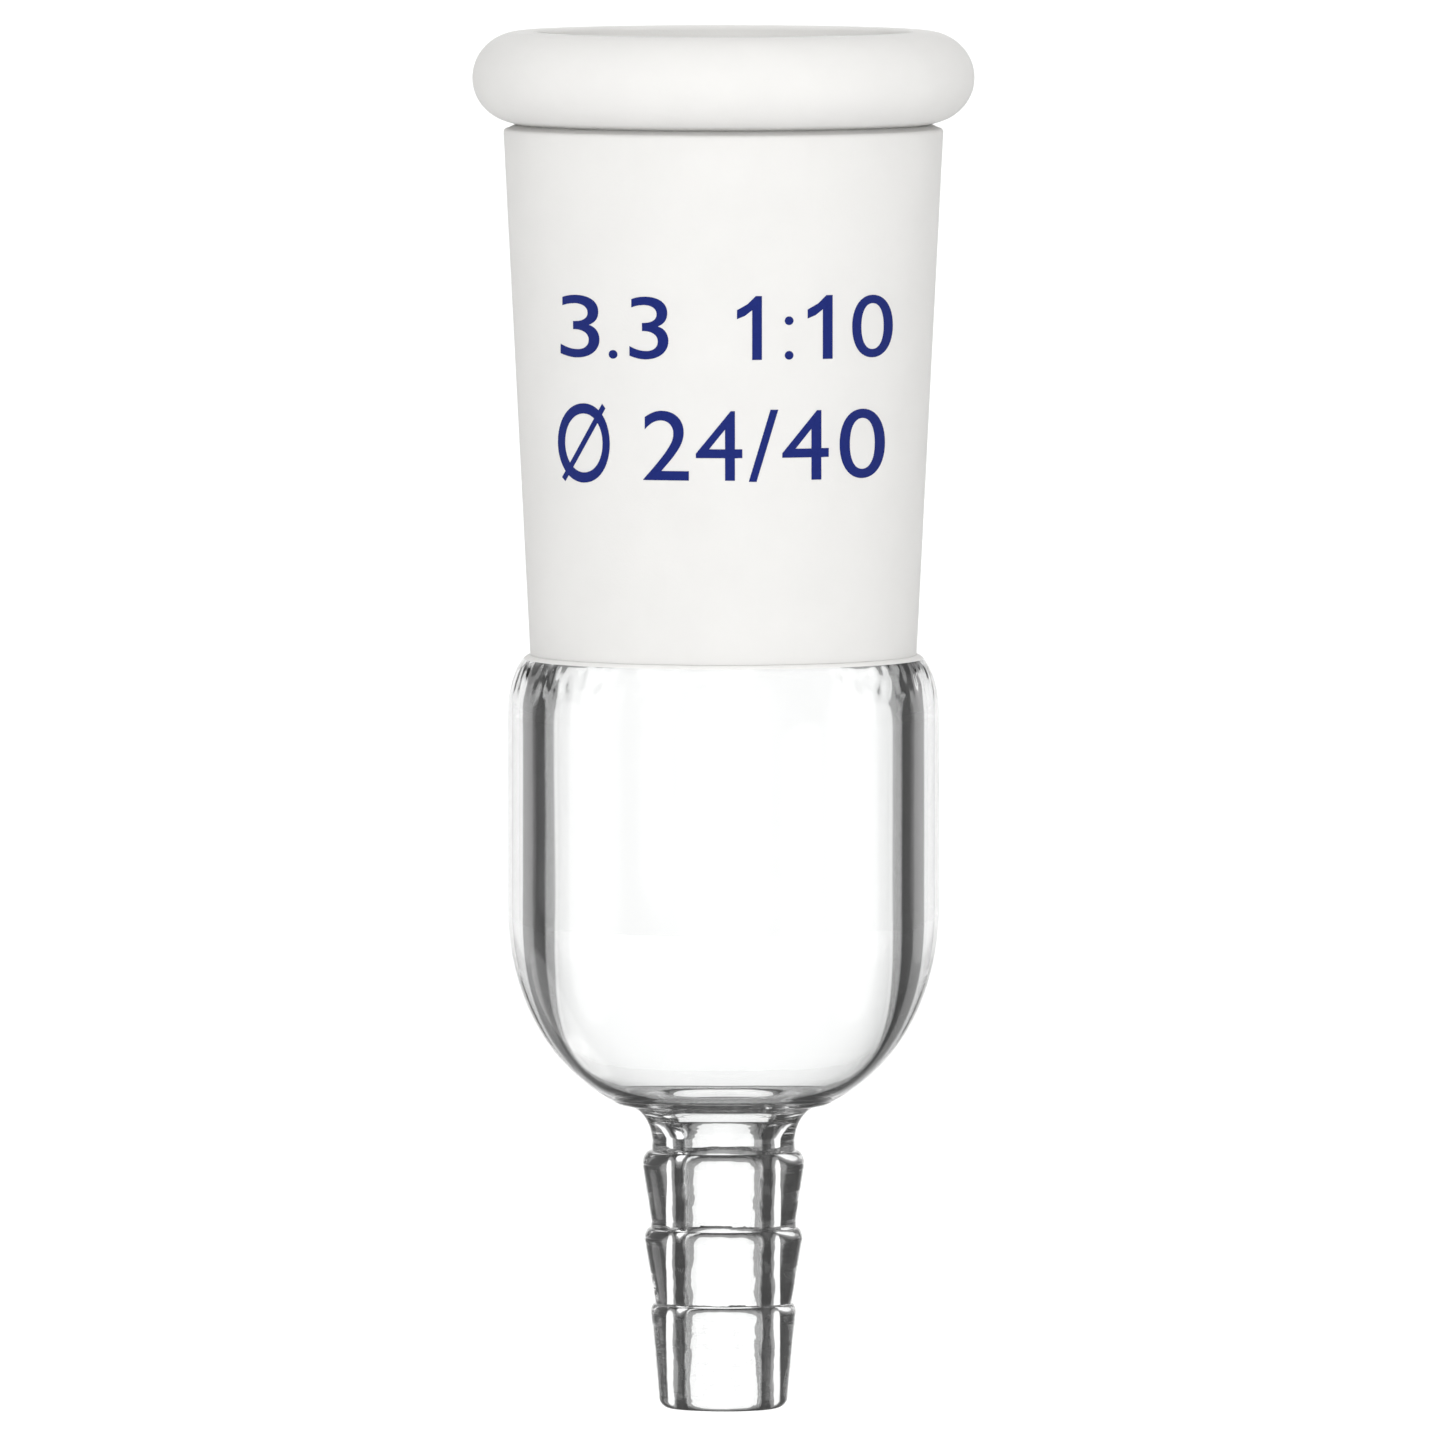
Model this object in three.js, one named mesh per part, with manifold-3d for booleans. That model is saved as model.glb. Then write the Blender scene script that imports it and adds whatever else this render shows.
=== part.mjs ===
// A straight hose-connection adapter for laboratory glassware, in borosilicate glass:
// a standard taper ground socket with a rolled bead round its mouth, a round-bottomed body tube,
// a short flared neck and a hose connection with three barbs. A plain size mark is printed on the
// socket in enamel. Millimetres, +Z up. The origin is the centre of the socket's mouth, so the
// whole adapter lies below it. Each length of glass is its own piece, and neighbours meet on a
// flat ring, where the glassblower's seal is.

import * as THREE from 'three';
import { mergeVertices } from 'three/addons/utils/BufferGeometryUtils.js';
import Module from 'manifold-3d';

// ---- Driving dimensions ----

const FACETS = 48; // round every turned piece

// Ground socket: 24 mm across the mouth, ground for 40 mm, 1 in 10 on the diameter
const MOUTH_RADIUS = 12;
const GROUND_LENGTH = 40;
const TAPER = 1 / 20;
const SOCKET_TOP_RADIUS = 14.1;
const SOCKET_END_RADIUS = 12.4;
const SOCKET_CORNER = 0.25;

// Rolled bead round the mouth
const BEAD_CORE_RADIUS = 13;
const BEAD_REACH = 3.1;
const BEAD_HEIGHT = 5.9;
const GROOVE_RADIUS = 13.3;
const GROOVE_Z = -5.95;

// Body tube
const BODY_RADIUS = 13.86;
const BODY_BORE_RADIUS = 11.5;
const SHOULDER_HEIGHT = 3.8;
const INNER_SHOULDER_HEIGHT = 4.5;
const SHOULDER_POWER = 1.8;
const BOTTOM_START_Z = -55.76;
const BOTTOM_DEPTH = 14.64;
const BOTTOM_POWER = 2.2;
const INNER_BOTTOM_START_Z = -56.07;
const INNER_BOTTOM_DEPTH = 12.96;
const INNER_BOTTOM_POWER = 2.83;

// The body's floor inside: nearly level from its edge to the rounded lip where it rolls over
// into the neck, which it meets tangentially.
const FLOOR_RADIUS = 6.53;
const FLOOR_SLOPE = 2 * Math.PI / 180;
const LIP_CENTRE = [4.5, -69.39];
const LIP_ROUND = 1.23;

// Flared neck: a concave fillet outside, and inside a funnel from the lip down to the bore
const NECK_TOP_Z = -68.9;
const NECK_FILLET_END_Z = -71.4;
const NECK_FILLET_POWER = 2.1;
const NECK_END_Z = -71.55;
const NECK_RADIUS = 4.6;
const FUNNEL_END_Z = -71;
const FUNNEL_POWER = 0.74;
const HOSE_BORE_RADIUS = 2.5;

// Hose connection, from the top down: where each barb starts, its root, crest and end
const BARBS = [
  { start: -71.9, root: 4.6, crest: 5.21, rise: 1, flat: 0.4, end: -76.3, endRadius: 4.66 },
  { start: -76.9, root: 4.66, crest: 5.08, rise: 0.8, flat: 0, end: -81.7, endRadius: 4.37 },
  { start: -81.8, root: 4.37, crest: 4.66, rise: 0.6, flat: 0.3, end: -87.75, endRadius: 4.15 },
];
const TIP_Z = -88.5;
const TIP_RADIUS = 3.5;
const TIP_BORE_RADIUS = 2.75;
const TIP_BORE_FLARE = 0.3;

// Printed mark: plain numbers, an upper line and a lower line
const ENAMEL_GAP = 0.02;
const ENAMEL_THICKNESS = 0.06;
const MARK_FACETS = 96;
const MARK_MARGIN = 1; // of skin above and below a line, before it is cut to the strokes
const PEN_START = 4; // how far in front of the axis the strokes start, on their way through the skin
const UPPER_LINE = { z: -20.5, height: 4, width: 2.6, stroke: 0.46 };
const LOWER_LINE = { z: -28.2, height: 4.44, width: 2.9, stroke: 0.5 };
const DIAMETER_SIGN = { z: -28.4, height: 4.9, width: 3.4, stroke: 0.46 };

// ---- Materials ----

const clearGlass = new THREE.MeshStandardMaterial({
  color: 0xe9f2ef, roughness: 0.03, metalness: 0, transparent: true, opacity: 0.35,
});
const groundGlass = new THREE.MeshStandardMaterial({
  color: 0xf3f2ee, roughness: 0.85, metalness: 0, transparent: true, opacity: 0.85,
});
const navyEnamel = new THREE.MeshStandardMaterial({ color: 0x1a2a78, roughness: 0.45 });

// ---- Turned glass ----

// Points of a quarter of a rounded curve, from its side (turn 0) to its end (turn 1).
// Power 2 is an ellipse, and a higher power is squarer.
function quarter(centre, reach, height, power, steps, lastTurn = 1) {
  const points = [];
  for (let i = 0; i <= steps; i++) {
    const angle = (lastTurn * i / steps) * Math.PI / 2;
    const out = Math.pow(Math.cos(angle), 2 / power);
    const along = Math.pow(Math.sin(angle), 2 / power);
    points.push([centre[0] + reach * out, centre[1] + height * along]);
  }
  return points;
}

// The turn at which quarter() has gone a given share of its height.
function turnAt(share, power) {
  return Math.asin(Math.pow(share, power / 2)) / (Math.PI / 2);
}

// A solid of revolution from [radius, z] points that run up the outside and down the inside.
function turned(name, profile, material) {
  const points = [...profile, profile[0]].map(([radius, z]) => new THREE.Vector2(radius, z));
  const geometry = new THREE.LatheGeometry(points, FACETS).rotateX(Math.PI / 2);
  const mesh = new THREE.Mesh(geometry, material);
  mesh.name = name;
  return mesh;
}

function boreRadius(z) {
  return MOUTH_RADIUS + z * TAPER;
}

function rimBead() {
  const middle = -BEAD_HEIGHT / 2;
  const core = [BEAD_CORE_RADIUS, middle];
  const lower = quarter(core, BEAD_REACH, -BEAD_HEIGHT / 2, 2, 5).slice(0, -1).reverse();
  const upper = quarter(core, BEAD_REACH, BEAD_HEIGHT / 2, 2, 5).slice(1);
  return turned('rim_bead', [
    [GROOVE_RADIUS, GROOVE_Z],
    ...lower,
    ...upper,
    [MOUTH_RADIUS, 0],
    [boreRadius(GROOVE_Z), GROOVE_Z],
  ], groundGlass);
}

function groundSocket() {
  const corner = [SOCKET_TOP_RADIUS - SOCKET_CORNER, GROOVE_Z - 2 * SOCKET_CORNER];
  return turned('ground_socket', [
    [SOCKET_END_RADIUS, -GROUND_LENGTH],
    ...quarter(corner, SOCKET_CORNER, SOCKET_CORNER, 2, 3),
    [GROOVE_RADIUS, GROOVE_Z],
    [boreRadius(GROOVE_Z), GROOVE_Z],
    [boreRadius(-GROUND_LENGTH), -GROUND_LENGTH],
  ], groundGlass);
}

// The rounded lip inside, from one height down to another.
function innerLip(fromZ, toZ, steps) {
  const points = [];
  for (let i = 0; i <= steps; i++) {
    const rise = fromZ + (toZ - fromZ) * i / steps - LIP_CENTRE[1];
    points.push([LIP_CENTRE[0] - Math.sqrt(LIP_ROUND ** 2 - rise ** 2), LIP_CENTRE[1] + rise]);
  }
  return points;
}

// The body's round bottom, from its side down to the flat ring where the neck is sealed on.
function roundBottom() {
  const lastTurn = turnAt((BOTTOM_START_Z - NECK_TOP_Z) / BOTTOM_DEPTH, BOTTOM_POWER);
  return quarter([0, BOTTOM_START_Z], BODY_RADIUS, -BOTTOM_DEPTH, BOTTOM_POWER, 12, lastTurn);
}

function bodyBulb() {
  const boreEnd = boreRadius(-GROUND_LENGTH);
  const shoulder = quarter(
    [SOCKET_END_RADIUS, -GROUND_LENGTH - SHOULDER_HEIGHT],
    BODY_RADIUS - SOCKET_END_RADIUS, SHOULDER_HEIGHT, SHOULDER_POWER, 6,
  );
  const innerShoulder = quarter(
    [boreEnd, -GROUND_LENGTH - INNER_SHOULDER_HEIGHT],
    BODY_BORE_RADIUS - boreEnd, INNER_SHOULDER_HEIGHT, 2, 5,
  );
  const lipTopZ = LIP_CENTRE[1] + LIP_ROUND * Math.cos(FLOOR_SLOPE);
  const lipTopRadius = LIP_CENTRE[0] - LIP_ROUND * Math.sin(FLOOR_SLOPE);
  const floorEdgeZ = lipTopZ + (FLOOR_RADIUS - lipTopRadius) * Math.tan(FLOOR_SLOPE);
  const innerBottom = quarter(
    [0, INNER_BOTTOM_START_Z], BODY_BORE_RADIUS, -INNER_BOTTOM_DEPTH, INNER_BOTTOM_POWER, 10,
    turnAt((INNER_BOTTOM_START_Z - floorEdgeZ) / INNER_BOTTOM_DEPTH, INNER_BOTTOM_POWER),
  );
  return turned('body_bulb', [
    ...roundBottom().reverse(),
    ...shoulder,
    ...innerShoulder.reverse(),
    ...innerBottom.slice(0, -1),
    [FLOOR_RADIUS, floorEdgeZ],
    ...innerLip(lipTopZ, NECK_TOP_Z, 3),
  ], clearGlass);
}

function hoseNeck() {
  const [sealRadius] = roundBottom().at(-1);
  const fillet = quarter(
    [sealRadius, NECK_FILLET_END_Z], NECK_RADIUS - sealRadius, NECK_TOP_Z - NECK_FILLET_END_Z,
    NECK_FILLET_POWER, 6,
  );
  const lip = innerLip(NECK_TOP_Z, LIP_CENTRE[1], 2);
  const [throatRadius, throatZ] = lip.at(-1);
  const funnel = quarter(
    [HOSE_BORE_RADIUS, throatZ], throatRadius - HOSE_BORE_RADIUS, FUNNEL_END_Z - throatZ,
    FUNNEL_POWER, 6,
  );
  return turned('hose_neck', [
    [NECK_RADIUS, NECK_END_Z],
    ...fillet,
    ...lip,
    ...funnel.slice(1),
    [HOSE_BORE_RADIUS, NECK_END_Z],
  ], clearGlass);
}

function hoseBarb() {
  const outside = [];
  for (const { start, root, crest, rise, flat, end, endRadius } of BARBS) {
    const climb = quarter([root, start - rise], crest - root, rise, 2, 4).reverse();
    outside.push(...climb);
    if (flat > 0) outside.push([crest, start - rise - flat]);
    outside.push([endRadius, end]);
  }
  const last = BARBS.at(-1);
  const tipHeight = last.end - TIP_Z;
  const tip = quarter([TIP_RADIUS, last.end], last.endRadius - TIP_RADIUS, -tipHeight, 2, 3).slice(1);
  return turned('hose_barb', [
    ...tip.reverse(),
    ...outside.reverse(),
    [NECK_RADIUS, NECK_END_Z],
    [HOSE_BORE_RADIUS, NECK_END_Z],
    [HOSE_BORE_RADIUS, TIP_Z + TIP_BORE_FLARE],
    [TIP_BORE_RADIUS, TIP_Z],
  ], clearGlass);
}

// ---- Printed numbers: pen strokes cut from a thin skin of enamel round the socket ----

const wasm = await Module();
wasm.setup();

function solid(geometry) {
  const bare = geometry.clone();
  bare.deleteAttribute('normal');
  bare.deleteAttribute('uv');
  const merged = mergeVertices(bare);
  return new wasm.Manifold(new wasm.Mesh({
    numProp: 3,
    vertProperties: merged.attributes.position.array,
    triVerts: new Uint32Array(merged.index.array),
  }));
}

function geometryOf(manifold) {
  const mesh = manifold.getMesh();
  const geometry = new THREE.BufferGeometry();
  geometry.setAttribute('position', new THREE.BufferAttribute(mesh.vertProperties, 3));
  geometry.setIndex(new THREE.BufferAttribute(mesh.triVerts, 1));
  return geometry;
}

function socketRadius(z) {
  const top = GROOVE_Z - SOCKET_CORNER;
  const share = (top - z) / (top + GROUND_LENGTH);
  return SOCKET_TOP_RADIUS + (SOCKET_END_RADIUS - SOCKET_TOP_RADIUS) * share;
}

function enamelSkin(low, high) {
  const inner = ENAMEL_GAP;
  const outer = ENAMEL_GAP + ENAMEL_THICKNESS;
  const profile = [
    [socketRadius(low) + outer, low],
    [socketRadius(high) + outer, high],
    [socketRadius(high) + inner, high],
    [socketRadius(low) + inner, low],
    [socketRadius(low) + outer, low],
  ].map(([radius, z]) => new THREE.Vector2(radius, z));
  return solid(new THREE.LatheGeometry(profile, MARK_FACETS).rotateX(Math.PI / 2));
}

// A straight stroke from one point to another.
function bar(stroke, [x0, y0], [x1, y1]) {
  const length = Math.hypot(x1 - x0, y1 - y0);
  const [sideX, sideY] = [-(y1 - y0) / length * stroke / 2, (x1 - x0) / length * stroke / 2];
  return new THREE.Shape([
    new THREE.Vector2(x0 - sideX, y0 - sideY),
    new THREE.Vector2(x1 - sideX, y1 - sideY),
    new THREE.Vector2(x1 + sideX, y1 + sideY),
    new THREE.Vector2(x0 + sideX, y0 + sideY),
  ]);
}

// A stroke along part of an ellipse, anticlockwise from one angle to another, in degrees.
function arc(stroke, [x, y], reach, rise, from, to) {
  const [a, b] = [THREE.MathUtils.degToRad(from), THREE.MathUtils.degToRad(to)];
  const shape = new THREE.Shape();
  shape.absellipse(x, y, reach + stroke / 2, rise + stroke / 2, a, b, false);
  shape.absellipse(x, y, reach - stroke / 2, rise - stroke / 2, b, a, true);
  return shape;
}

// A stroke all the way round an ellipse.
function ring(stroke, [x, y], reach, rise) {
  const shape = new THREE.Shape();
  shape.absellipse(x, y, reach + stroke / 2, rise + stroke / 2, 0, 2 * Math.PI, false);
  const hole = new THREE.Path();
  hole.absellipse(x, y, reach - stroke / 2, rise - stroke / 2, 0, 2 * Math.PI, true);
  shape.holes.push(hole);
  return shape;
}

// The strokes of each character, in a box of the line's width and height.
const STROKES = {
  '0': ({ width: w, height: h, stroke: s }) => [
    ring(s, [w / 2, h / 2], (w - s) / 2, (h - s) / 2),
  ],
  '1': ({ width: w, height: h, stroke: s }) => [
    bar(s, [0.6 * w, 0], [0.6 * w, h]),
    bar(s, [0.6 * w + s / 3, h - s / 4], [0.15 * w, 0.74 * h]),
  ],
  '2': ({ width: w, height: h, stroke: s }) => {
    const reach = (w - s) / 2;
    const bend = THREE.MathUtils.degToRad(-40);
    const centre = [w / 2, h - w / 2];
    return [
      arc(s, centre, reach, reach, -42, 165),
      bar(s, [centre[0] + reach * Math.cos(bend), centre[1] + reach * Math.sin(bend)], [0.45 * s, 0.6 * s]),
      bar(s, [0, s / 2], [w, s / 2]),
    ];
  },
  '3': ({ width: w, height: h, stroke: s }) => {
    const rise = (h - s) / 4;
    return [
      arc(s, [w / 2, s / 2 + 3 * rise], 0.9 * (w - s) / 2, rise, -95, 155),
      arc(s, [w / 2, s / 2 + rise], (w - s) / 2, rise, -155, 95),
    ];
  },
  '4': ({ width: w, height: h, stroke: s }) => [
    bar(s, [0.72 * w, 0], [0.72 * w, h]),
    bar(s, [0.72 * w, h - 0.6 * s], [0.3 * s, 0.3 * h]),
    bar(s, [0, 0.28 * h], [w, 0.28 * h]),
  ],
  '/': ({ height: h, stroke: s }) => [bar(s, [0.1, 0], [1.5, h])],
  '.': ({ stroke: s }) => [bar(1.2 * s, [0, 0.6 * s], [1.2 * s, 0.6 * s])],
  '˙': ({ height: h, stroke: s }) => [bar(1.2 * s, [0, 0.62 * h], [1.2 * s, 0.62 * h])],
  'Ø': ({ width: w, height: h, stroke: s }) => [
    ring(s, [w / 2, h / 2], 0.42 * w, 0.36 * h),
    bar(0.8 * s, [0.06 * w, 0], [0.94 * w, h]),
  ],
};

// One printed character, its left edge at x, lying on the socket's front.
function printed(name, character, line, x) {
  const strokes = STROKES[character](line).map((shape) => solid(
    new THREE.ExtrudeGeometry(shape, { depth: SOCKET_TOP_RADIUS, bevelEnabled: false, curveSegments: 8 })
      .translate(x, line.z, PEN_START)
      .rotateX(Math.PI / 2),
  ));
  const pen = strokes.reduce((whole, stroke) => whole.add(stroke));
  const skin = enamelSkin(line.z - MARK_MARGIN, line.z + line.height + MARK_MARGIN);
  const mesh = new THREE.Mesh(geometryOf(skin.intersect(pen)), navyEnamel);
  mesh.name = name;
  return mesh;
}

function upperLine() {
  return [
    printed('expansion_3_first', '3', UPPER_LINE, -10.5),
    printed('expansion_point', '.', UPPER_LINE, -7.3),
    printed('expansion_3_last', '3', UPPER_LINE, -6.1),
    printed('taper_1_first', '1', UPPER_LINE, 0.6),
    printed('taper_colon_low', '.', UPPER_LINE, 3.9),
    printed('taper_colon_high', '˙', UPPER_LINE, 3.9),
    printed('taper_1_last', '1', UPPER_LINE, 5.1),
    printed('taper_0', '0', UPPER_LINE, 8.2),
  ];
}

function lowerLine() {
  return [
    printed('diameter_sign', 'Ø', DIAMETER_SIGN, -10.6),
    printed('size_2', '2', LOWER_LINE, -5.1),
    printed('size_4_first', '4', LOWER_LINE, -1.7),
    printed('size_slash', '/', LOWER_LINE, 1.75),
    printed('size_4_last', '4', LOWER_LINE, 3.8),
    printed('size_0', '0', LOWER_LINE, 7.4),
  ];
}

const adapter = new THREE.Group();
adapter.add(rimBead(), groundSocket(), bodyBulb(), hoseNeck(), hoseBarb());
adapter.add(...upperLine(), ...lowerLine());

export default adapter;
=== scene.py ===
# A straight hose-connection adapter in laboratory glass, seen in a white light tent.
# The glass is turned: each length's wall is drawn as a profile and spun round the axis.

import bpy
from math import asin, cos, pi, radians, sin, tan
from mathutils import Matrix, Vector


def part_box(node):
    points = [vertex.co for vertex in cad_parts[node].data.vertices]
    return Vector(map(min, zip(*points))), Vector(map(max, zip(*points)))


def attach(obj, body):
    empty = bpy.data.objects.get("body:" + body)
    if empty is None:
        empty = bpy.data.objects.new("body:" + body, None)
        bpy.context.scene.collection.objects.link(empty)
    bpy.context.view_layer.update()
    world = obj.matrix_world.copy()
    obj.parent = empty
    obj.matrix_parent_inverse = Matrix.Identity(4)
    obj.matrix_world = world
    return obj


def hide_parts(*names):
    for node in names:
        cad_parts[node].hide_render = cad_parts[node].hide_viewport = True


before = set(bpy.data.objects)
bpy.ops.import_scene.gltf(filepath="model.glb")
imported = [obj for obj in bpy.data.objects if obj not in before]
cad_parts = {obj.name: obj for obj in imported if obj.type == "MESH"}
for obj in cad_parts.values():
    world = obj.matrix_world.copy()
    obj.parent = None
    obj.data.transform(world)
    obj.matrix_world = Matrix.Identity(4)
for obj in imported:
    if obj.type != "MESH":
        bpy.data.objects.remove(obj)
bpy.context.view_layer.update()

MM = 0.001

# ---- Places and sizes, from the frame ----


def box_radius(node):
    """The largest radius of a turned CAD node."""
    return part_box(node)[1].x


TIP_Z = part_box("hose_barb")[0].z
NECK_END_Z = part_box("hose_barb")[1].z
NECK_TOP_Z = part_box("hose_neck")[1].z
BODY_TOP_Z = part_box("body_bulb")[1].z
GROOVE_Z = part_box("ground_socket")[1].z
MOUTH_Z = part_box("rim_bead")[1].z

RIM_RADIUS = box_radius("rim_bead")
SOCKET_TOP_RADIUS = box_radius("ground_socket")
BODY_RADIUS = box_radius("body_bulb")

# ---- Glass dimensions that the frame's boxes don't give ----

MOUTH_RADIUS = 12 * MM
TAPER = 1 / 20
SOCKET_END_RADIUS = 12.4 * MM
SOCKET_CORNER = 0.25 * MM
GROOVE_RADIUS = 13.3 * MM
BEAD_CORE_RADIUS = 13 * MM
BEAD_UNDERCUT = 0.05 * MM  # from the bead down to the seal in the groove
MOUTH_ROUND = 0.3 * MM
BODY_BORE = 11.5 * MM
SHOULDER_HEIGHT = 3.8 * MM
SHOULDER_POWER = 1.8
INNER_SHOULDER_HEIGHT = 4.5 * MM
PAINTED_HIGHLIGHT_DEPTH = 0.25 * MM  # painted highlight: how far down the milky ground glass runs over the top of the clear shoulder, a bright line that hides the dark line there
FOOT_RAISE = 0.01 * MM  # the socket's fused foot stands just off the body's plain top
BOTTOM_START_Z = -55.76 * MM
BOTTOM_DEPTH = 14.64 * MM
BOTTOM_POWER = 2.2
INNER_BOTTOM_START_Z = -56.07 * MM
INNER_BOTTOM_DEPTH = 12.96 * MM
INNER_BOTTOM_POWER = 2.83
FLOOR_RADIUS = 6.53 * MM
FLOOR_SLOPE = radians(2)
LIP_CENTRE = (4.5 * MM, -69.39 * MM)
LIP_ROUND = 1.23 * MM
NECK_RADIUS = 4.6 * MM
NECK_FILLET_END_Z = -71.4 * MM
NECK_FILLET_POWER = 2.1
FUNNEL_END_Z = -71 * MM
FUNNEL_POWER = 0.74
HOSE_BORE = 2.5 * MM
TIP_RADIUS = 3.5 * MM
TIP_BORE = 2.75 * MM
TIP_ROUND = 0.3 * MM

SIDES = 256  # round every turned piece
DOUBLES = 0.0005 * MM  # points closer than this are one
SMOOTH_BELOW = radians(35)
ROUND = 2  # the power that makes quarter() a circle or an ellipse

# ---- Camera, at a long lens's distance ----

CAMERA_DISTANCE = 1.45
CAMERA_ELEVATION = 3.5
VIEW_WIDTH = 92.8 * MM
SENSOR_WIDTH = 36
AIM = Vector((-0.06 * MM, 0, -44.4 * MM))


def direction(azimuth, elevation):
    """From the object towards an azimuth and elevation in degrees. Azimuth 0 is the front, -Y."""
    turn, rise = radians(azimuth), radians(elevation)
    return Vector((sin(turn) * cos(rise), -cos(turn) * cos(rise), sin(rise)))


def make_camera():
    """The main camera, in front of the glass and a little above it."""
    bpy.ops.object.camera_add(
        location=AIM + direction(0, CAMERA_ELEVATION) * CAMERA_DISTANCE,
        rotation=(radians(90 - CAMERA_ELEVATION), 0, 0),
    )
    camera = bpy.context.object
    camera.data.sensor_width = SENSOR_WIDTH
    camera.data.lens = SENSOR_WIDTH * CAMERA_DISTANCE / VIEW_WIDTH
    camera.data.clip_start = 0.01
    bpy.context.scene.camera = camera


# ---- Materials ----

GLASS_IOR = 1.474


def new_material(name):
    """A material with an empty tree but for its output, and that output."""
    material = bpy.data.materials.new(name)
    material.use_nodes = True
    nodes = material.node_tree.nodes
    nodes.clear()
    return material, nodes.new("ShaderNodeOutputMaterial")


def add_node(material, kind, settings=None, **sockets):
    """A node, with its sockets set by name: a number or colour, or another node's output."""
    node = material.node_tree.nodes.new(kind)
    for name, value in (settings or {}).items():
        setattr(node, name, value)
    for name, value in sockets.items():
        socket = node.inputs[name.replace("_", " ")]
        if isinstance(value, bpy.types.NodeSocket):
            material.node_tree.links.new(value, socket)
        else:
            socket.default_value = value
    return node


def placed(material, scale):
    """The piece's own coordinates, stretched by scale along X, Y and Z."""
    coordinates = add_node(material, "ShaderNodeTexCoord")
    mapping = add_node(
        material, "ShaderNodeMapping", Vector=coordinates.outputs["Object"], Scale=scale
    )
    return mapping.outputs["Vector"]


def clear_glass(name, marks_scale, marks_depth):
    """Clear borosilicate, its surface faintly marked as the flame and the tools left it."""
    material, output = new_material(name)
    marks = add_node(
        material, "ShaderNodeTexNoise",
        Vector=placed(material, marks_scale), Scale=1.0, Detail=2.0,
    )
    bump = add_node(
        material, "ShaderNodeBump",
        Height=marks.outputs["Fac"], Strength=1.0, Distance=marks_depth,
    )
    shader = add_node(
        material, "ShaderNodeBsdfPrincipled",
        Base_Color=(0.996, 1, 0.998, 1), Roughness=0.0, IOR=GLASS_IOR,
        Transmission_Weight=1.0, Normal=bump.outputs["Normal"],
    )
    material.node_tree.links.new(shader.outputs[0], output.inputs["Surface"])
    return material


def ground_glass():
    """Borosilicate ground with fine grit: milky, with a fine even grain."""
    material, output = new_material("ground_glass")
    grain = add_node(
        material, "ShaderNodeTexNoise",
        Vector=placed(material, (1, 1, 1)), Scale=7000.0, Detail=3.0,
    )
    bump = add_node(
        material, "ShaderNodeBump",
        Height=grain.outputs["Fac"], Strength=0.35, Distance=0.00003,
    )
    clouds = add_node(
        material, "ShaderNodeTexNoise",
        Vector=placed(material, (1, 1, 1)), Scale=260.0, Detail=2.0,
    )
    tone = add_node(
        material, "ShaderNodeMapRange",
        Value=clouds.outputs["Fac"], To_Min=0.97, To_Max=1.03,
    )
    colour = add_node(
        material, "ShaderNodeMix", {"data_type": "RGBA", "blend_type": "MULTIPLY"}, Factor=1.0,
    )
    colour.inputs[6].default_value = (0.868, 0.861, 0.843, 1)
    material.node_tree.links.new(tone.outputs[0], colour.inputs[7])
    shader = add_node(
        material, "ShaderNodeBsdfPrincipled",
        Base_Color=colour.outputs[2], Roughness=0.6, IOR=GLASS_IOR,
        Transmission_Weight=0.35, Normal=bump.outputs["Normal"],
    )
    material.node_tree.links.new(shader.outputs[0], output.inputs["Surface"])
    return material


def fused_seal():
    """The face where two lengths of glass are fused: nothing is seen there."""
    material, output = new_material("fused_seal")
    shader = add_node(material, "ShaderNodeBsdfTransparent", Color=(1, 1, 1, 1))
    material.node_tree.links.new(shader.outputs[0], output.inputs["Surface"])
    return material


def navy_enamel():
    """Fired ceramic ink: satin navy, a little uneven where the screen laid it."""
    material, output = new_material("navy_enamel")
    screen = add_node(
        material, "ShaderNodeTexNoise",
        Vector=placed(material, (1, 1, 1)), Scale=5200.0, Detail=2.0,
    )
    colour = add_node(
        material, "ShaderNodeMix", {"data_type": "RGBA"}, Factor=screen.outputs["Fac"],
    )
    colour.inputs[6].default_value = (0.004, 0.011, 0.105, 1)
    colour.inputs[7].default_value = (0.008, 0.018, 0.15, 1)
    bump = add_node(
        material, "ShaderNodeBump",
        Height=screen.outputs["Fac"], Strength=0.3, Distance=0.00001,
    )
    shader = add_node(
        material, "ShaderNodeBsdfPrincipled",
        Base_Color=colour.outputs[2], Roughness=0.5, Specular_IOR_Level=0.15,
        Normal=bump.outputs["Normal"],
    )
    material.node_tree.links.new(shader.outputs[0], output.inputs["Surface"])
    return material


def pale_floor():
    """A pale board, a little mottled."""
    material, output = new_material("pale_floor")
    mottle = add_node(
        material, "ShaderNodeTexNoise",
        Vector=placed(material, (1, 1, 1)), Scale=3.0, Detail=3.0,
    )
    tone = add_node(
        material, "ShaderNodeMapRange",
        Value=mottle.outputs["Fac"], To_Min=0.94, To_Max=0.96,
    )
    shader = add_node(
        material, "ShaderNodeBsdfDiffuse", Color=tone.outputs[0], Roughness=0.5,
    )
    material.node_tree.links.new(shader.outputs[0], output.inputs["Surface"])
    return material


CLEAR = clear_glass("clear_glass", (420, 420, 60), 0.004 * MM)
TOOLED = clear_glass("tooled_glass", (160, 160, 2400), 0.012 * MM)
BORE = clear_glass("bore_glass", (1100, 1100, 700), 0.03 * MM)
GROUND = ground_glass()
SEAL = fused_seal()
ENAMEL = navy_enamel()

# ---- Turned glass ----


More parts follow.
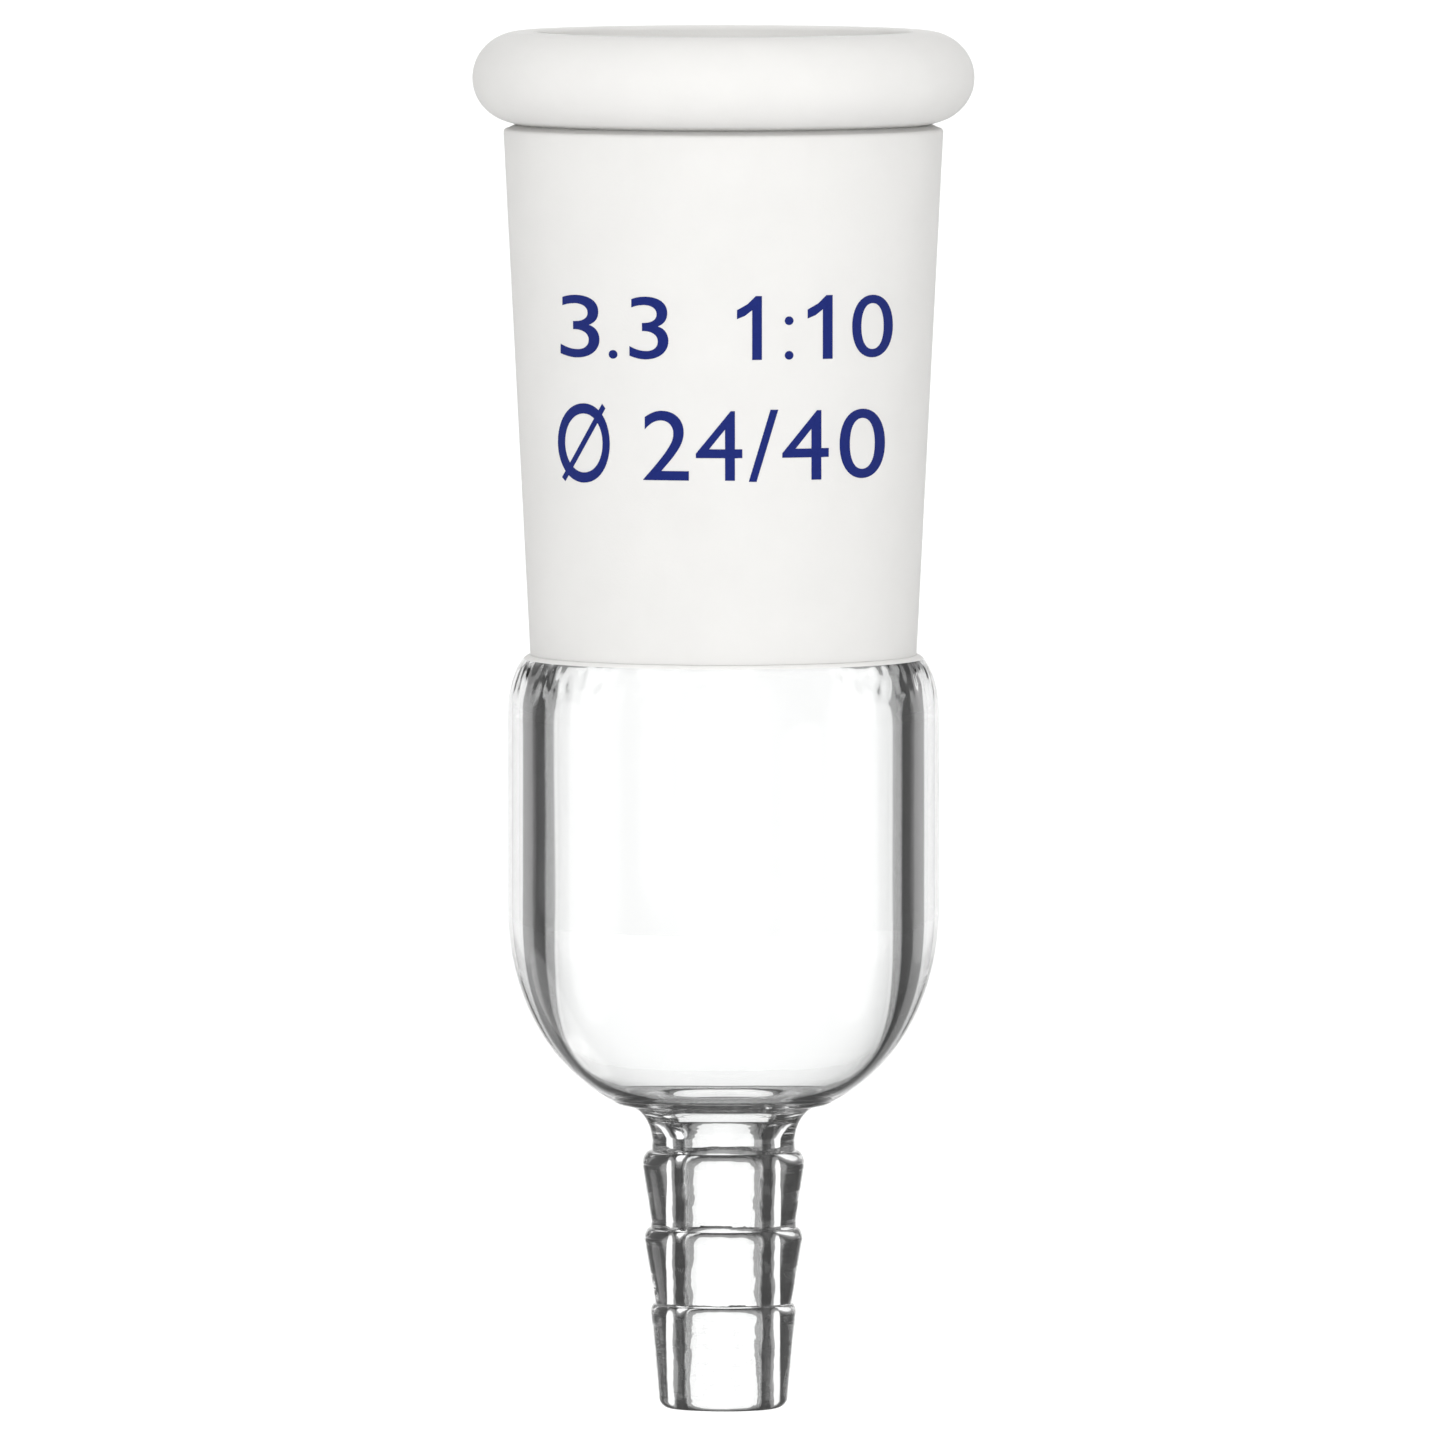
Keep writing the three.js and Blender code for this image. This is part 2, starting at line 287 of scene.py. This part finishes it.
def quarter(centre, reach, height, power, steps, last_turn=1):
    """Points of a quarter of a rounded curve, from its side to its end. Power 2 is an ellipse."""
    points = []
    for step in range(steps + 1):
        angle = last_turn * step / steps * pi / 2
        out = max(cos(angle), 0) ** (2 / power)
        along = sin(angle) ** (2 / power)
        points.append((centre[0] + reach * out, centre[1] + height * along))
    return points


def turn_at(share, power):
    """The turn at which quarter() has gone a given share of its height."""
    return asin(share ** (power / 2)) / (pi / 2)


def arc(centre, radius, start, end, steps):
    """Points of a circle's arc, from angle start to angle end."""
    angles = [start + (end - start) * step / steps for step in range(steps + 1)]
    return [(centre[0] + radius * cos(a), centre[1] + radius * sin(a)) for a in angles]


def line(start, end, steps):
    """Points from start towards end, both left out."""
    start, end = Vector(start), Vector(end)
    return [tuple(start.lerp(end, step / steps)) for step in range(1, steps)]


def bend(start, corner, end, steps):
    """Points of a smooth bend from start to end that rounds off a corner."""
    start, corner, end = Vector(start), Vector(corner), Vector(end)
    shares = [step / steps for step in range(steps + 1)]
    return [tuple(start.lerp(corner, s).lerp(corner.lerp(end, s), s)) for s in shares]


def bore_radius(z):
    """The ground socket's inner radius at a height below the mouth."""
    return MOUTH_RADIUS + z * TAPER


def draw_chain(name, points):
    """A closed chain of edges, extruded point by point from one vertex, left in edit mode."""
    bpy.ops.object.select_all(action="DESELECT")
    bpy.ops.mesh.primitive_plane_add(size=MM, location=(0, 0, 0))
    piece = bpy.context.object
    piece.name = name
    bpy.ops.object.mode_set(mode="EDIT")
    bpy.ops.mesh.select_all(action="SELECT")
    bpy.ops.mesh.merge(type="CENTER")
    bpy.ops.transform.translate(value=points[0])
    for point, next_point in zip(points, [*points[1:], points[0]]):
        step = Vector(next_point) - Vector(point)
        bpy.ops.mesh.extrude_region_move(TRANSFORM_OT_translate={"value": step})
    bpy.ops.mesh.select_all(action="SELECT")
    bpy.ops.mesh.remove_doubles(threshold=DOUBLES)
    return piece


# The last kind of face is the painted highlight band: milky ground glass over the top of the clear
# shoulder.
OUTSIDE, FUSED, INSIDE, PAINTED_HIGHLIGHT_BAND = range(4)  # a turned piece's faces, as its materials' order


def turned(name, profile, material, seal_heights, bore_material=None):
    """A length of glass spun from its profile, with its flat ends at seal_heights fused."""
    piece = draw_chain(name, [(radius, 0, z) for radius, z in profile])
    bpy.ops.mesh.spin(steps=SIDES, angle=2 * pi, center=(0, 0, 0), axis=(0, 0, 1))
    bpy.ops.mesh.select_all(action="SELECT")
    bpy.ops.mesh.remove_doubles(threshold=DOUBLES)
    bpy.ops.mesh.normals_make_consistent(inside=False)
    bpy.ops.object.mode_set(mode="OBJECT")
    for finish in (material, SEAL, bore_material or material, GROUND):
        piece.data.materials.append(finish)
    for face in piece.data.polygons:
        flat = abs(face.normal.z) > 0.999
        at_seal = any(abs(face.center.z - height) < 0.001 * MM for height in seal_heights)
        faces_in = face.normal.xy.dot(face.center.xy) < 0
        face.material_index = FUSED if flat and at_seal else INSIDE if faces_in else OUTSIDE
        # Painted highlight: the top of the clear shoulder takes the milky ground glass, a bright
        # line in place of the dark line there.
        if material == CLEAR and not faces_in and face.center.z > BODY_TOP_Z - PAINTED_HIGHLIGHT_DEPTH:
            face.material_index = PAINTED_HIGHLIGHT_BAND
    bpy.ops.object.shade_smooth_by_angle(angle=SMOOTH_BELOW)
    return piece


def ripple(piece, where, size, height):
    """Waves in a hand-worked surface: where(radius, z) says how much each point takes part."""
    bpy.ops.object.select_all(action="DESELECT")
    piece.select_set(True)
    bpy.context.view_layer.objects.active = piece
    group = piece.vertex_groups.new(name="ripple")
    for vertex in piece.data.vertices:
        weight = where(vertex.co.xy.length, vertex.co.z)
        if weight > 0:
            group.add([vertex.index], min(weight, 1), "REPLACE")
    waves = bpy.data.textures.new("waves", "CLOUDS")
    waves.noise_scale = size
    waves.noise_depth = 1
    shift = piece.modifiers.new("ripple", "DISPLACE")
    shift.texture = waves
    shift.texture_coords = "LOCAL"
    shift.vertex_group = group.name
    shift.mid_level = 0.5
    shift.strength = height
    bpy.ops.object.modifier_apply(modifier=shift.name)
    piece.vertex_groups.clear()


def fade(value, none, full):
    """0 at none, 1 at full, straight in between."""
    return min(max((value - none) / (full - none), 0), 1)


def glass_rim():
    """The rolled bead round the mouth."""
    middle = (MOUTH_Z + GROOVE_Z) / 2
    height = (MOUTH_Z - GROOVE_Z) / 2
    core = (BEAD_CORE_RADIUS, middle)
    reach = RIM_RADIUS - BEAD_CORE_RADIUS
    lower = quarter(core, reach, BEAD_UNDERCUT - height, ROUND, 20)
    upper = quarter(core, reach, height, ROUND, 20)
    lip = (MOUTH_RADIUS + MOUTH_ROUND, MOUTH_Z - MOUTH_ROUND)
    lip_round = quarter(lip, -MOUTH_ROUND, MOUTH_ROUND, ROUND, 6)
    bore = [(bore_radius(lip[1]), lip[1]), (bore_radius(GROOVE_Z), GROOVE_Z)]
    profile = [
        (GROOVE_RADIUS, GROOVE_Z),
        *reversed(lower[:-3]),
        *upper[1:],
        *reversed(lip_round),
        *line(*bore, 6),
        bore[1],
    ]
    return turned("glass_rim", profile, GROUND, [GROOVE_Z])


def glass_socket():
    """The ground taper socket, from the groove under the bead to the body."""
    corner = (SOCKET_TOP_RADIUS - SOCKET_CORNER, GROOVE_Z - 2 * SOCKET_CORNER)
    foot_z = BODY_TOP_Z + FOOT_RAISE
    foot = (SOCKET_END_RADIUS, foot_z)
    shoulder = quarter(corner, SOCKET_CORNER, SOCKET_CORNER, ROUND, 6)
    bore = [(bore_radius(GROOVE_Z), GROOVE_Z), (bore_radius(foot_z), foot_z)]
    profile = [
        foot,
        *line(foot, shoulder[0], 24),
        *shoulder,
        (GROOVE_RADIUS, GROOVE_Z),
        bore[0],
        *line(*bore, 24),
        bore[1],
    ]
    return turned("glass_socket", profile, GROUND, [GROOVE_Z, foot_z])


def seal_angle_on_lip():
    """Where the seal between body and neck crosses the inner lip's circle."""
    return pi - asin((NECK_TOP_Z - LIP_CENTRE[1]) / LIP_ROUND)


def glass_body():
    """The body tube, from its shoulder to the round bottom's seal with the neck."""
    last_turn = turn_at((BOTTOM_START_Z - NECK_TOP_Z) / BOTTOM_DEPTH, BOTTOM_POWER)
    bottom = quarter(
        (0, BOTTOM_START_Z), BODY_RADIUS, -BOTTOM_DEPTH, BOTTOM_POWER, 44, last_turn
    )
    shoulder = quarter(
        (SOCKET_END_RADIUS, BODY_TOP_Z - SHOULDER_HEIGHT),
        BODY_RADIUS - SOCKET_END_RADIUS, SHOULDER_HEIGHT, SHOULDER_POWER, 18,
    )
    bore_end = bore_radius(BODY_TOP_Z)
    inner_shoulder = quarter(
        (bore_end, BODY_TOP_Z - INNER_SHOULDER_HEIGHT),
        BODY_BORE - bore_end, INNER_SHOULDER_HEIGHT, ROUND, 18,
    )
    lip = arc(LIP_CENTRE, LIP_ROUND, radians(90) + FLOOR_SLOPE, seal_angle_on_lip(), 8)
    floor_edge = (FLOOR_RADIUS, lip[0][1] + (FLOOR_RADIUS - lip[0][0]) * tan(FLOOR_SLOPE))
    floor_share = (INNER_BOTTOM_START_Z - floor_edge[1]) / INNER_BOTTOM_DEPTH
    inner_bottom = quarter(
        (0, INNER_BOTTOM_START_Z), BODY_BORE, -INNER_BOTTOM_DEPTH, INNER_BOTTOM_POWER, 40,
        turn_at(floor_share, INNER_BOTTOM_POWER),
    )
    bend_start, bend_end = inner_bottom[-3], line(floor_edge, lip[0], 6)[0]
    profile = [
        *reversed(bottom),
        *line(bottom[0], shoulder[0], 20),
        *shoulder,
        *reversed(inner_shoulder),
        *line(inner_shoulder[0], inner_bottom[0], 20),
        *inner_bottom[:-3],
        *bend(bend_start, floor_edge, bend_end, 8),
        *line(bend_end, lip[0], 12),
        *lip,
    ]
    body = turned("glass_body", profile, CLEAR, [NECK_TOP_Z])
    ripple(
        body, lambda radius, z: fade(z, BODY_TOP_Z, BODY_TOP_Z - 5 * MM)
        * fade(z, NECK_TOP_Z, NECK_TOP_Z + 5 * MM), 9 * MM, 0.01 * MM,
    )
    ripple(
        body, lambda radius, z: (radius < 12 * MM) * fade(z, BODY_TOP_Z, BODY_TOP_Z - 0.4 * MM)
        * fade(z, BODY_TOP_Z - 3.2 * MM, BODY_TOP_Z - 2.2 * MM), 0.8 * MM, 0.14 * MM,
    )
    return body


def glass_neck():
    """The flared neck, from the body's lip to the hose connection."""
    seal_radius = box_radius("hose_neck")
    fillet = quarter(
        (seal_radius, NECK_FILLET_END_Z), NECK_RADIUS - seal_radius,
        NECK_TOP_Z - NECK_FILLET_END_Z, NECK_FILLET_POWER, 24,
    )
    lip = arc(LIP_CENTRE, LIP_ROUND, seal_angle_on_lip(), radians(180), 6)
    throat = lip[-1]
    funnel = quarter(
        (HOSE_BORE, throat[1]), throat[0] - HOSE_BORE, FUNNEL_END_Z - throat[1],
        FUNNEL_POWER, 20,
    )
    profile = [
        (NECK_RADIUS, NECK_END_Z),
        *fillet,
        *lip,
        *funnel[1:],
        (HOSE_BORE, NECK_END_Z),
    ]
    return turned("glass_neck", profile, TOOLED, [NECK_TOP_Z, NECK_END_Z], BORE)


BARBS = [
    {"start": -71.9, "root": 4.6, "crest": 5.21, "rise": 1.0, "end": -76.3, "end_radius": 4.66},
    {"start": -76.9, "root": 4.66, "crest": 5.08, "rise": 0.8, "end": -81.7, "end_radius": 4.37},
    {"start": -81.8, "root": 4.37, "crest": 4.66, "rise": 0.6, "end": -87.75, "end_radius": 4.15},
]


def glass_barb():
    """The hose connection, with its three barbs and its fire-polished tip."""
    outside = []
    for barb in BARBS:
        root = (barb["root"] * MM, (barb["start"] - barb["rise"]) * MM)
        reach = (barb["crest"] - barb["root"]) * MM
        climb = quarter(root, reach, barb["rise"] * MM, ROUND, 10)
        outside += reversed(climb)
        end = (barb["end_radius"] * MM, barb["end"] * MM)
        outside += [*line(climb[0], end, 18), end]
    tip = quarter((TIP_RADIUS, end[1]), end[0] - TIP_RADIUS, TIP_Z - end[1], ROUND, 10)
    lip = (TIP_BORE, TIP_Z + TIP_ROUND)
    lip_round = quarter(lip, HOSE_BORE - TIP_BORE, -TIP_ROUND, ROUND, 6)
    profile = [
        *reversed(tip[1:]),
        *reversed(outside),
        (NECK_RADIUS, NECK_END_Z),
        (HOSE_BORE, NECK_END_Z),
        *line((HOSE_BORE, NECK_END_Z), lip_round[0], 60),
        *lip_round,
    ]
    barb = turned("glass_barb", profile, TOOLED, [NECK_END_Z], BORE)
    ripple(
        barb, lambda radius, z: (radius < TIP_RADIUS) * fade(z, NECK_END_Z, NECK_END_Z - 1.5 * MM),
        1.6 * MM, 0.05 * MM,
    )
    ripple(
        barb, lambda radius, z: (radius > TIP_RADIUS) * fade(z, NECK_END_Z, NECK_END_Z - 1.5 * MM),
        2.5 * MM, 0.05 * MM,
    )
    return barb


# ---- Printed numbers ----

STRIP = 0.25 * MM  # width of the strips that let a printed number bend round the socket
INK = 0.03 * MM
PRINT = {
    "expansion_3_first": "3",
    "expansion_point": ".",
    "expansion_3_last": "3",
    "taper_1_first": "1",
    "taper_colon_low": ".",
    "taper_colon_high": ".",
    "taper_1_last": "1",
    "taper_0": "0",
    "diameter_sign": "Ø",
    "size_2": "2",
    "size_4_first": "4",
    "size_slash": "/",
    "size_4_last": "4",
    "size_0": "0",
}


def text_face(character):
    """A character as a flat mesh in the XY plane."""
    bpy.ops.object.text_add(location=(0, 0, 0))
    bpy.context.object.data.body = character
    bpy.context.object.data.resolution_u = 12
    bpy.ops.object.convert(target="MESH")
    return bpy.context.object


def figure_one():
    """A 1 with a flag, as a flat mesh in the XY plane, drawn round its outline."""
    outline = [
        (0.30, 0), (0.46, 0), (0.46, 1), (0.36, 1), (0.22, 0.87), (0.05, 0.78), (0.05, 0.64),
        (0.18, 0.69), (0.30, 0.78),
    ]
    piece = draw_chain("one", [(x, y, 0) for x, y in outline])
    bpy.ops.mesh.edge_face_add()
    bpy.ops.object.mode_set(mode="OBJECT")
    return piece


def printed(node, character, socket):
    """A character laid on the socket's front, filling its CAD node's width and height."""
    low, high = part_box(node)
    bpy.ops.object.select_all(action="DESELECT")
    piece = figure_one() if character == "1" else text_face(character)
    piece.name = "print_" + node
    corners = [vertex.co for vertex in piece.data.vertices]
    left, right = min(c.x for c in corners), max(c.x for c in corners)
    foot, head = min(c.y for c in corners), max(c.y for c in corners)
    wide, tall = (high.x - low.x) / (right - left), (high.z - low.z) / (head - foot)
    piece.scale = (wide, tall, 1)
    piece.rotation_euler = (pi / 2, 0, 0)
    piece.location = (low.x - left * wide, -1.5 * SOCKET_TOP_RADIUS, low.z - foot * tall)
    bpy.ops.object.transform_apply(location=True, rotation=True, scale=True)
    bpy.ops.object.mode_set(mode="EDIT")
    x = low.x + STRIP
    while x < high.x:
        bpy.ops.mesh.select_all(action="SELECT")
        bpy.ops.mesh.bisect(plane_co=(x, 0, 0), plane_no=(1, 0, 0))
        x += STRIP
    bpy.ops.mesh.select_all(action="SELECT")
    bpy.ops.mesh.remove_doubles(threshold=0.002 * MM)
    bpy.ops.object.mode_set(mode="OBJECT")
    lay = piece.modifiers.new("lay_on_socket", "SHRINKWRAP")
    lay.target = socket
    lay.wrap_method = "PROJECT"
    lay.use_project_y = True
    lay.use_positive_direction = True
    lay.use_negative_direction = False
    lay.offset = 0.01 * MM
    bpy.ops.object.modifier_apply(modifier=lay.name)
    ink = piece.modifiers.new("ink", "SOLIDIFY")
    ink.thickness = INK
    ink.offset = 0
    bpy.ops.object.modifier_apply(modifier=ink.name)
    piece.data.materials.append(ENAMEL)
    return piece


# ---- Stage ----

FLOOR_Z = -1.1
TENT_LIGHT = 1.18
SHADE_RADIUS = 0.9
SHADE_CENTRE = Vector((0, 0, -44 * MM))
PANEL_LIGHT = 8
PANEL_SIZE = 0.9
PANEL_DISTANCE = 1.3
PANEL_ELEVATION = 15

# The bright openings in the shade, as azimuth, elevation, brightness and squash. Each lies
# straight behind the glass as seen from that azimuth and elevation. Its brightness is given by
# the degrees from its middle, and its lower half is squashed to that share of its height.
WIDE_OPENING = {
    12: 1, 20: 0.92, 23.2: 0.88, 24.4: 0.33, 30: 0.27, 37.5: 0.2, 39.5: 0.07, 44: 0.055,
}
NARROW_OPENING = {13: 1, 15: 0.35, 20: 0.12, 23: 0.055}
OPENINGS = [
    (0, 3.5, WIDE_OPENING, 0.52),
    (90, 3.5, NARROW_OPENING, 1),
    (180, 3.5, WIDE_OPENING, 0.52),
    (270, 3.5, NARROW_OPENING, 1),
    (53, 26, NARROW_OPENING, 1),
    (225, 15, NARROW_OPENING, 1),
]


def shade_cloth():
    """Black cloth all round the object, worn thin to nothing at the tent's bright openings."""
    material, output = new_material("shade_cloth")
    coordinates = add_node(material, "ShaderNodeTexCoord")
    links = material.node_tree.links
    light = None
    for azimuth, elevation, brightness, squash in OPENINGS:
        # The place on the shade, in a frame whose Z looks from the glass to the opening's middle.
        turn = (-direction(azimuth, elevation)).to_track_quat("Z", "Y").to_euler()
        place = add_node(
            material, "ShaderNodeMapping", {"vector_type": "TEXTURE"},
            Vector=coordinates.outputs["Object"], Rotation=turn,
        )
        parts = add_node(material, "ShaderNodeSeparateXYZ", Vector=place.outputs["Vector"])
        below = add_node(
            material, "ShaderNodeMath", {"operation": "MINIMUM"}, Value=parts.outputs["Y"]
        )
        below.inputs[1].default_value = 0
        height = add_node(
            material, "ShaderNodeMath", {"operation": "MULTIPLY_ADD"}, Value=below.outputs[0]
        )
        height.inputs[1].default_value = 1 / squash - 1
        links.new(parts.outputs["Y"], height.inputs[2])
        stretched = add_node(
            material, "ShaderNodeCombineXYZ",
            X=parts.outputs["X"], Y=height.outputs[0], Z=parts.outputs["Z"],
        )
        way = add_node(
            material, "ShaderNodeVectorMath", {"operation": "NORMALIZE"},
            Vector=stretched.outputs["Vector"],
        )
        along = add_node(material, "ShaderNodeSeparateXYZ", Vector=way.outputs["Vector"])
        angle = add_node(
            material, "ShaderNodeMath", {"operation": "ARCCOSINE"}, Value=along.outputs["Z"]
        )
        quarter_turns = add_node(
            material, "ShaderNodeMath", {"operation": "DIVIDE"}, Value=angle.outputs[0]
        )
        quarter_turns.inputs[1].default_value = pi / 2
        ramp = add_node(material, "ShaderNodeValToRGB", Fac=quarter_turns.outputs[0])
        stops = ramp.color_ramp.elements
        stops.remove(stops[1])
        for number, (degrees, shade) in enumerate(brightness.items()):
            stop = stops[0] if number == 0 else stops.new(degrees / 90)
            stop.position = degrees / 90
            stop.color = (shade, shade, shade, 1)
        if light is None:
            light = ramp.outputs["Color"]
        else:
            brighter = add_node(material, "ShaderNodeMath", {"operation": "MAXIMUM"})
            links.new(light, brighter.inputs[0])
            links.new(ramp.outputs["Color"], brighter.inputs[1])
            light = brighter.outputs[0]
    cloth = add_node(material, "ShaderNodeBsdfDiffuse", Color=(0, 0, 0, 1))
    clear = add_node(material, "ShaderNodeBsdfTransparent")
    mix = add_node(material, "ShaderNodeMixShader", Fac=light)
    links.new(cloth.outputs[0], mix.inputs[1])
    links.new(clear.outputs[0], mix.inputs[2])
    links.new(mix.outputs[0], output.inputs["Surface"])
    return material


def make_stage():
    """The floor far below, the shade, the tent's even light and two panels, front and back."""
    bpy.ops.object.select_all(action="DESELECT")
    bpy.ops.mesh.primitive_plane_add(size=400, location=(0, 0, FLOOR_Z))
    floor = bpy.context.object
    floor.name = "floor"
    floor.data.materials.append(pale_floor())

    bpy.ops.object.select_all(action="DESELECT")
    bpy.ops.mesh.primitive_uv_sphere_add(
        segments=96, ring_count=48, radius=SHADE_RADIUS, location=SHADE_CENTRE
    )
    shade = bpy.context.object
    shade.name = "shade"
    shade.data.materials.append(shade_cloth())
    # Only the glass shows the shade: it hides nothing from the camera and blocks no light.
    shade.visible_camera = False
    shade.visible_diffuse = False
    shade.visible_shadow = False

    world = bpy.data.worlds.new("light_tent")
    bpy.context.scene.world = world
    world.use_nodes = True
    tent = world.node_tree.nodes["Background"]
    tent.inputs["Color"].default_value = (1, 1, 1, 1)
    tent.inputs["Strength"].default_value = TENT_LIGHT

    for azimuth in (0, 180):
        outward = direction(azimuth, PANEL_ELEVATION)
        bpy.ops.object.light_add(
            type="AREA", location=SHADE_CENTRE + outward * PANEL_DISTANCE,
            rotation=outward.to_track_quat("Z", "Y").to_euler(),
        )
        panel = bpy.context.object
        panel.data.size = PANEL_SIZE
        panel.data.energy = PANEL_LIGHT
        # The panels shape the ground glass, and the clear glass doesn't mirror them.
        panel.visible_glossy = False
        panel.visible_transmission = False


# ---- Build ----

make_camera()
make_stage()
pieces = {
    "rim_bead": glass_rim(),
    "ground_socket": glass_socket(),
    "body_bulb": glass_body(),
    "hose_neck": glass_neck(),
    "hose_barb": glass_barb(),
}
for node, piece in pieces.items():
    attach(piece, "root")
    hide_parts(node)
for node, character in PRINT.items():
    piece = printed(node, character, pieces["ground_socket"])
    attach(piece, "root")
    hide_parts(node)

bpy.context.scene.view_settings.view_transform = "Standard"
bounces = bpy.context.scene.cycles
bounces.max_bounces = 32
bounces.transmission_bounces = 32
bounces.glossy_bounces = 16
bounces.transparent_max_bounces = 32
